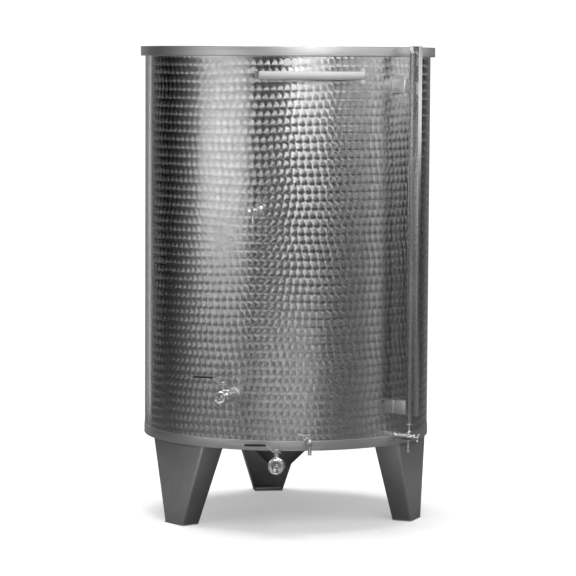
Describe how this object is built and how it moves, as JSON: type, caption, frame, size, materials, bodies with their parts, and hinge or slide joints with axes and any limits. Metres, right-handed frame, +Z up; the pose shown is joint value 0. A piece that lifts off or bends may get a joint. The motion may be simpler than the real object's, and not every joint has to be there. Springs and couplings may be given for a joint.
{
  "type": "vertical storage tank",
  "caption": "Open-topped vertical storage tank in marbled stainless sheet on folded legs, with valved outlets, small taps, a level gauge and a label bar.",
  "frame": {"origin": "on the tank's axis at floor level, where the three feet stand", "axes": "+Z up along the tank's axis, -Y towards the front of the tank, where the label bar and the band tap are, +X to the right seen from the front"},
  "size_m": [1.141, 1.2052, 1.818],
  "materials": {
    "marbled_steel": "stainless sheet with rows of overlapping round polishing marks",
    "brushed_steel": "plain brushed stainless sheet",
    "polished_steel": "machined and polished stainless fittings",
    "black_sleeve": "dipped black sleeve on the valve levers",
    "clear_tube": "clear level tube"
  },
  "bodies": {
    "tank": {"shell_panel_1": "marbled_steel", "shell_panel_2": "marbled_steel", "shell_panel_3": "marbled_steel", "shell_panel_4": "marbled_steel", "shell_panel_5": "marbled_steel", "shell_panel_6": "marbled_steel", "shell_panel_7": "marbled_steel", "shell_panel_8": "marbled_steel", "top_rim_1": "brushed_steel", "top_rim_2": "brushed_steel", "top_rim_3": "brushed_steel", "top_rim_4": "brushed_steel", "base_band": "brushed_steel", "tank_bottom": "brushed_steel", "outlet_sump": "brushed_steel", "front_left_leg": "brushed_steel", "front_left_foot": "brushed_steel", "front_right_leg": "brushed_steel", "front_right_foot": "brushed_steel", "rear_leg": "brushed_steel", "rear_foot": "brushed_steel", "label_bar": "brushed_steel", "partial_outlet_pipe": "polished_steel", "partial_outlet_valve_body": "polished_steel", "total_outlet_pipe": "polished_steel", "total_outlet_valve_body": "polished_steel", "tasting_tap_body": "polished_steel", "tasting_tap_spout": "polished_steel", "band_tap_body": "polished_steel", "band_tap_spout": "polished_steel", "gauge_tap_body": "polished_steel", "gauge_tap_spout": "polished_steel", "gauge_gland": "polished_steel", "gauge_tube": "clear_tube", "gauge_tube_cap": "polished_steel", "gauge_guard": "brushed_steel", "upper_gauge_bracket": "brushed_steel", "lower_gauge_bracket": "brushed_steel"},
    "partial_outlet_handle": {"partial_outlet_ball": "polished_steel", "partial_outlet_stem": "polished_steel", "partial_outlet_nut": "polished_steel", "partial_outlet_lever": "brushed_steel", "partial_outlet_grip": "black_sleeve"},
    "total_outlet_handle": {"total_outlet_ball": "polished_steel", "total_outlet_stem": "polished_steel", "total_outlet_nut": "polished_steel", "total_outlet_lever": "brushed_steel", "total_outlet_grip": "black_sleeve"},
    "band_tap_handle": {"band_tap_lever": "polished_steel"},
    "tasting_tap_handle": {"tasting_tap_knob": "polished_steel"},
    "gauge_tap_handle": {"gauge_tap_knob": "polished_steel"}
  },
  "joints": [
    {"name": "partial_outlet_turn", "type": "hinge", "parent": "tank", "child": "partial_outlet_handle", "pos_m": [-0.31686, -0.56811, 0.523], "axis": [0, 0, 1], "range_deg": [0, 90]},
    {"name": "total_outlet_turn", "type": "hinge", "parent": "tank", "child": "total_outlet_handle", "pos_m": [-0.12065, -0.58775, 0.2665], "axis": [0, 0, 1], "range_deg": [0, 90]},
    {"name": "band_tap_turn", "type": "hinge", "parent": "tank", "child": "band_tap_handle", "pos_m": [0, -0.6088, 0.3807], "axis": [0, 0, 1], "range_deg": [0, 90]},
    {"name": "tasting_tap_turn", "type": "hinge", "parent": "tank", "child": "tasting_tap_handle", "pos_m": [-0.22006, -0.61459, 1.212], "axis": [-0.3371, -0.9415, 0], "range_deg": [0, 270]},
    {"name": "gauge_tap_turn", "type": "hinge", "parent": "tank", "child": "gauge_tap_handle", "pos_m": [0.42439, -0.49866, 0.35], "axis": [0.6481, -0.7615, 0], "range_deg": [0, 180]}
  ]
}
